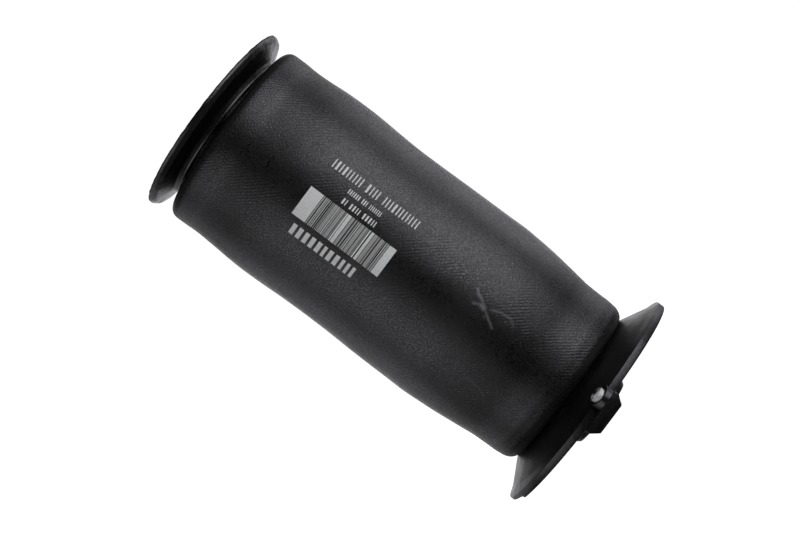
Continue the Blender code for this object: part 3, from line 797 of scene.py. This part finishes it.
def bar_block(solid, thin, rng, top, bottom, left, right):
    """Two blank ends, and between them bars of uneven width: most thinly inked, a few solid."""
    pad(solid, top, top - UPPER_BLANK, left, right)
    pad(solid, bottom + LOWER_BLANK, bottom, left, right)
    z = top - UPPER_BLANK - BLANK_SPACES[0]
    low = bottom + LOWER_BLANK + BLANK_SPACES[1]
    while z > bottom + LOWER_BLANK + BLANK_SPACES[2]:
        width = min(rng.choice(BAR_WIDTHS), z - low)
        pad(solid if rng.random() < SOLID_SHARE else thin, z, z - width, left, right)
        z -= width + rng.choice(BAR_SPACES)


def tick_row(bm, rng, span, left, right, widths, space, groups):
    """A row of plain upright ticks, in groups, in place of wording. It fills its span of heights."""
    ticks, z = [], 0.0
    for count in groups:
        for _ in range(count):
            width = rng.choice(widths)
            ticks.append((z, width))
            z += width + space
        z += GROUP_SPACE * space
    top, bottom = span
    fit = (top - bottom) / (ticks[-1][0] + ticks[-1][1])
    for start, width in ticks:
        pad(bm, top - start * fit, top - (start + width) * fit, left, right)


def build_print(ink, thin_ink):
    rng = random.Random(PRINT_SEED)
    bm, thin = bmesh.new(), bmesh.new()
    bar_block(bm, thin, rng, **BAR_BLOCK)
    for row in TICK_ROWS:
        tick_row(bm, rng, *row)
    for name, mesh, material in (("print_marks", bm, ink), ("print_bars", thin, thin_ink)):
        marks = new_object(name, mesh, material, None, sharp=SHARP_SOFT)
        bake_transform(marks)


# ---------------------------------------------------------------- base, in millimetres

# corners of the turned base: radius, height and rounding
BASE_CORNERS = ((0.0, 0.0, 0.0), (24.6, 0.0, 0.5), (26.6, 2.9, 0.5), (26.6, 23.2, 1.0), (51.5, 23.2, 1.5),
                (79.9, 12.4, 1.0), (79.9, 10.2, 0.5), (83.9, 10.2, 0.9), (83.9, 15.6, 0.8),
                (77.4, 18.0, 5.0), (57.4, 28.8, 0.8), (46.4, 28.8, 0.3), (46.4, 31.0, 0.2),
                (44.2, 31.0, 0.2), (44.2, 33.6, 0.2), (46.4, 33.6, 0.2), (46.4, 36.4, 0.8),
                (42.6, 36.4, 0.6), (42.6, 28.8, 0.4), (20.0, 28.8, 0.6), (20.0, 4.0, 0.8),
                (0.0, 4.0, 0.0))
# the lip's notch on the -X side, cut along Y: x and height
NOTCH_SIDE = ((-95.0, 5.0), (-76.4, 5.0), (-76.4, 11.6), (-77.4, 12.4), (-95.0, 13.6))
NOTCH_HALF_LENGTH = 40.0

RIB_COUNT = 12
RIB_HALF_THICKNESS = 1.25
RIB_EDGE = 0.5
RIB_SIDE = ((25.1, 11.4), (80.9, 11.4), (80.9, 13.9), (53.0, 24.7), (25.1, 24.7))    # radius, height

EAR_LEFT, EAR_RIGHT = -15.7, 16.1
EAR_ROOT = -60.0                         # y of the ear's inner end, inside the cone
EAR_SPAN = (-120.0, -40.0)               # y clear of both ends, for a cut along the whole ear
EAR_TOP = 11.5
EAR_BACK = ((-60.0, 23.6), (-65.0, 23.6), (-81.2, 14.6), (-82.2, 11.5))    # y and height on the cone
EAR_CUT = (4.8, 6.0)                     # width and height of its cut-off lower corners
EAR_EDGE = 1.1

COLLAR_X = 8.3
COLLAR_RADIUS = 8.0
COLLAR_BOTTOM = 8.6
COLLAR_FRONT = 15.0                      # height of the mouth at the front, and at the back
COLLAR_BACK = 21.4
COLLAR_EDGE = 0.4

POCKET_RADIUS = 6.2                      # room round the bush, from this height up
POCKET_BOTTOM = 9.0
HOLE_RADIUS = 5.5
HOLE_TOP = 12.0
ABOVE_ALL = 40.0                         # clear of the base, for a cut that passes right through
BELOW_ALL = -5.0

BUSH_BORE = 3.3
BUSH_RADIUS = 5.2
BUSH_EDGE = 0.4
BUSH_SUNK = 0.8                          # how far its top stands below the CAD piece's


def in_metres(points):
    return [(a * MM, b * MM) for a, b in points]


def outline_of(corners):
    return fillet([(r * MM, z * MM) for r, z, _ in corners], [round_ * MM for _, _, round_ in corners])


def prism_tool(name, outline, low, high, axis):
    """A prism, given in millimetres."""
    return tool(name, prism_mesh(in_metres(outline), low * MM, high * MM, axis))


def round_tool(name, radius, centre, low, high, steps=48):
    """An upright cylinder in millimetres, but for its centre, which is in metres."""
    outline = circle(radius * MM, steps, (centre.x, centre.y))
    return tool(name, prism_mesh(outline, low * MM, high * MM, "z"))


def build_base(plastic):
    bush = centre_of("steel_bush")
    base = lathe("base_cone", outline_of(BASE_CORNERS), 256, plastic, None)
    notch = prism_tool("notch", NOTCH_SIDE, -NOTCH_HALF_LENGTH, NOTCH_HALF_LENGTH, "y")
    combine(base, [("DIFFERENCE", round_tool("pocket", POCKET_RADIUS, bush, POCKET_BOTTOM, ABOVE_ALL)),
                   ("DIFFERENCE", notch)])
    to_piece(base, plastic, "lower")
    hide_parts("base_seat")
    build_ribs(plastic)
    build_ear(plastic, bush)


def build_ribs(plastic):
    for index in range(RIB_COUNT):
        rib = prism_tool(f"base_rib_{index + 1}", RIB_SIDE, -RIB_HALF_THICKNESS, RIB_HALF_THICKNESS, "y")
        rib.matrix_world = Matrix.Rotation(math.tau * index / RIB_COUNT, 4, "Z")
        bevel(rib, RIB_EDGE * MM)
        to_piece(rib, plastic, "lower")


def collar_mesh(centre):
    """The round collar. The top of it slopes down to the front."""
    bm = prism_mesh(circle(COLLAR_RADIUS * MM, 64, centre), COLLAR_BOTTOM * MM, COLLAR_BACK * MM, "z")
    front = centre[1] - COLLAR_RADIUS * MM
    slope = (COLLAR_BACK - COLLAR_FRONT) / (2 * COLLAR_RADIUS)
    for vert in bm.verts:
        if vert.co.z > (COLLAR_BOTTOM + COLLAR_FRONT) / 2 * MM:
            vert.co.z = COLLAR_FRONT * MM + slope * (vert.co.y - front)
    return bm


def build_ear(plastic, bush):
    """Fixing ear with cut-off lower corners, and a collar for the bush."""
    bottom, front = bottom_of("steel_bush") / MM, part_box("base_seat")[0].y / MM
    side = [(front, bottom), (EAR_ROOT, bottom), *EAR_BACK, (front, EAR_TOP)]
    ear = prism_tool("fixing_ear", side, EAR_LEFT, EAR_RIGHT, "x")
    cut_width, cut_top = EAR_CUT[0], bottom + EAR_CUT[1]
    face = [(EAR_LEFT + cut_width, bottom), (EAR_RIGHT - cut_width, bottom), (EAR_RIGHT, cut_top),
            (EAR_RIGHT, ABOVE_ALL), (EAR_LEFT, ABOVE_ALL), (EAR_LEFT, cut_top)]
    combine(ear, [("INTERSECT", prism_tool("ear_face", face, *EAR_SPAN, "y"))])
    bevel(ear, EAR_EDGE * MM, 4)
    pocket = round_tool("pocket", POCKET_RADIUS, bush, POCKET_BOTTOM, ABOVE_ALL, 64)
    hole = round_tool("hole", HOLE_RADIUS, bush, BELOW_ALL, HOLE_TOP, 64)
    combine(ear, [("UNION", tool("collar", collar_mesh((COLLAR_X * MM, bush.y)))),
                  ("DIFFERENCE", pocket), ("DIFFERENCE", hole)])
    bevel(ear, COLLAR_EDGE * MM, 3, 40.0)
    to_piece(ear, plastic, "lower")


def build_bush(steel):
    centre = centre_of("steel_bush")
    low, top = bottom_of("steel_bush"), top_of("steel_bush") - BUSH_SUNK * MM
    bore, radius = BUSH_BORE * MM, BUSH_RADIUS * MM
    outline = fillet([(bore, low), (radius, low), (radius, top), (bore, top)], BUSH_EDGE * MM, 3)
    bush = lathe("bush", outline, 96, steel, "lower", (centre.x, centre.y, 0.0))
    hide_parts("steel_bush")


# ---------------------------------------------------------------- top plate, in millimetres

# corners of the turned top plate: radius, height and rounding
PLATE_CORNERS = ((0.0, 318.4, 0.0), (12.0, 318.4, 0.8), (12.0, 327.4, 1.0), (36.0, 327.4, 2.0),
                 (36.0, 286.4, 0.8), (43.3, 286.4, 1.2), (43.3, 293.4, 0.3), (40.7, 293.4, 0.3),
                 (40.7, 328.4, 0.8), (51.3, 328.4, 0.8), (51.3, 323.2, 0.5), (54.3, 323.2, 0.5),
                 (54.5, 324.5, 0.5), (55.9, 327.4, 2.5), (60.5, 329.2, 6.0), (69.2, 331.5, 0.7),
                 (71.2, 334.4, 2.2), (71.7, 336.9, 1.3), (66.0, 336.9, 1.6), (64.2, 335.0, 0.8),
                 (58.3, 335.0, 0.8), (57.5, 331.9, 0.6), (14.0, 331.9, 1.0), (13.0, 333.2, 0.6),
                 (0.0, 333.2, 0.0))
WORN_FROM, WORN_FULL = 66.0, 69.0        # radii between which the rim's unevenness sets in
WORN_ABOVE = 330.0
WORN_OUT, WORN_UP = 0.32, 0.26           # how uneven the rim is, outwards and upwards
WORN_ROUND, WORN_STEEP = 9.0, 220.0      # how quickly that changes round the rim, and up it (per metre)
WORN_QUICKER = 1.7                       # how many times as quickly the upward part changes

INSERT_BOSS_RADIUS = 7.5
INSERT_BOSS = (329.9, 335.9)             # heights of its two ends
INSERT_HOLE_RADIUS = 4.2
INSERT_HOLE_BOTTOM = 329.0
INSERT_BORE = 2.6
INSERT_RADIUS = 3.9
INSERT_MOUTH = (3.1, 0.6)                # radius and depth of the bore's countersink
INSERT_EDGE = 0.15
FITTING_HOLE_RADIUS = 5.3
FITTING_HOLE_BOTTOM = 315.0
ABOVE_PLATE = 350.0                      # clear of the plate, for a cut that passes right through
ISOLATOR_BORE = 42.0
ISOLATOR_TAPER = (1.5, 1.3)              # how far its inner and its outer edge draw in at the top
ISOLATOR_EDGE = 0.7


def plate_shape(radius, height, angle):
    """The moulded rim is slightly scalloped and worn."""
    if radius < WORN_FROM * MM or height < WORN_ABOVE * MM:
        return radius, height
    spot = Vector((math.cos(angle) * WORN_ROUND, math.sin(angle) * WORN_ROUND, height * WORN_STEEP))
    part = min((radius / MM - WORN_FROM) / (WORN_FULL - WORN_FROM), 1.0) * MM
    return (radius + noise.noise(spot) * WORN_OUT * part,
            height + noise.noise(spot * WORN_QUICKER) * WORN_UP * part)


def build_top_plate(plastic, brass, rubber):
    plate = lathe("top_plate_dish", outline_of(PLATE_CORNERS), 288, plastic, None,
                  shape=plate_shape)
    tools = []
    for node in ("top_insert_1", "top_insert_2"):
        spot = centre_of(node)
        tools.append(("UNION", round_tool("boss", INSERT_BOSS_RADIUS, spot, *INSERT_BOSS, 64)))
        tools.append(("DIFFERENCE", round_tool("hole", INSERT_HOLE_RADIUS, spot,
                                               INSERT_HOLE_BOTTOM, ABOVE_PLATE)))
    fitting = Vector((0.0, centre_of("fitting_body").y, 0.0))
    tools.append(("DIFFERENCE", round_tool("hole", FITTING_HOLE_RADIUS, fitting,
                                           FITTING_HOLE_BOTTOM, ABOVE_PLATE)))
    combine(plate, tools)
    to_piece(plate, plastic, "upper")
    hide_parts("top_plate")
    build_isolator(rubber)
    build_inserts(brass)


def build_isolator(rubber):
    low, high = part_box("top_isolator")
    outer, inner = (high.x - low.x) / 2, ISOLATOR_BORE * MM
    outline = fillet([(inner, low.z), (outer, low.z), (outer - ISOLATOR_TAPER[1] * MM, high.z),
                      (inner + ISOLATOR_TAPER[0] * MM, high.z)], ISOLATOR_EDGE * MM)
    ring = lathe("isolator_ring", outline, 192, rubber, "upper")
    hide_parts("top_isolator")


def build_inserts(brass):
    bore, radius = INSERT_BORE * MM, INSERT_RADIUS * MM
    mouth, depth = INSERT_MOUTH[0] * MM, INSERT_MOUTH[1] * MM
    for index, node in enumerate(("top_insert_1", "top_insert_2"), start=1):
        low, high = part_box(node)
        spot = (low + high) / 2
        outline = fillet([(bore, low.z), (radius, low.z), (radius, high.z), (mouth, high.z),
                          (bore, high.z - depth)], INSERT_EDGE * MM, 2)
        insert = lathe(f"insert_{index}", outline, 64, brass, "upper", (spot.x, spot.y, 0.0))
        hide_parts(node)


# ---------------------------------------------------------------- assembly

def paint_cad_nodes(materials):
    """CAD nodes that stay get their finish on their own slots."""
    by_node = {"piston": "plastic", "piston_seal": "rubber", "lower_crimp_ring": "aluminium",
               "upper_crimp_ring": "aluminium", "bump_stop": "foam", "bump_stop_cup": "steel",
               "bump_stop_screw": "steel", "fitting_body": "brass", "fitting_seal": "rubber",
               "fitting_collet": "plastic", "fitting_plug": "plug"}
    for index in range(1, 5):
        by_node[f"piston_screw_{index}"] = "steel"
    for node, key in by_node.items():
        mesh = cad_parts[node].data
        mesh.materials.clear()
        mesh.materials.append(materials[key])


def main():
    build_camera()
    build_stage()
    build_lights()
    materials = {
        "plastic": moulded_plastic("moulded_nylon", (0.0022, 0.0022, 0.0025), (0.013, 0.0125, 0.012)),
        "rubber": smooth_rubber("seal_rubber_skin", (0.014, 0.014, 0.014)),
        "steel": metal("zinc_plate", (0.66, 0.66, 0.64), (0.42, 0.42, 0.41), 0.34),
        "bush": dull_zinc("dull_zinc", (0.66, 0.66, 0.65), (0.50, 0.50, 0.49)),
        "aluminium": metal("turned_aluminium", (0.74, 0.74, 0.75), (0.55, 0.55, 0.56), 0.34),
        "brass": metal("machined_brass", (0.74, 0.55, 0.27), (0.52, 0.36, 0.16), 0.28),
        "foam": cellular_foam("cellular_polyurethane", (0.66, 0.55, 0.34), (0.50, 0.39, 0.22)),
        "plug": bright_plastic("red_polyethylene", (0.55, 0.05, 0.035)),
    }
    skin, cuffs = cord_rubber("cord_rubber"), smooth_rubber("cuff_rubber", (0.016, 0.016, 0.016))
    build_bellows(skin, cuffs, (print_ink("stamped_ink", 0.98), print_ink("thin_ink", 0.50)))
    build_base(materials["plastic"])
    build_bush(materials["bush"])
    build_top_plate(materials["plastic"], materials["brass"], materials["rubber"])
    paint_cad_nodes(materials)


main()
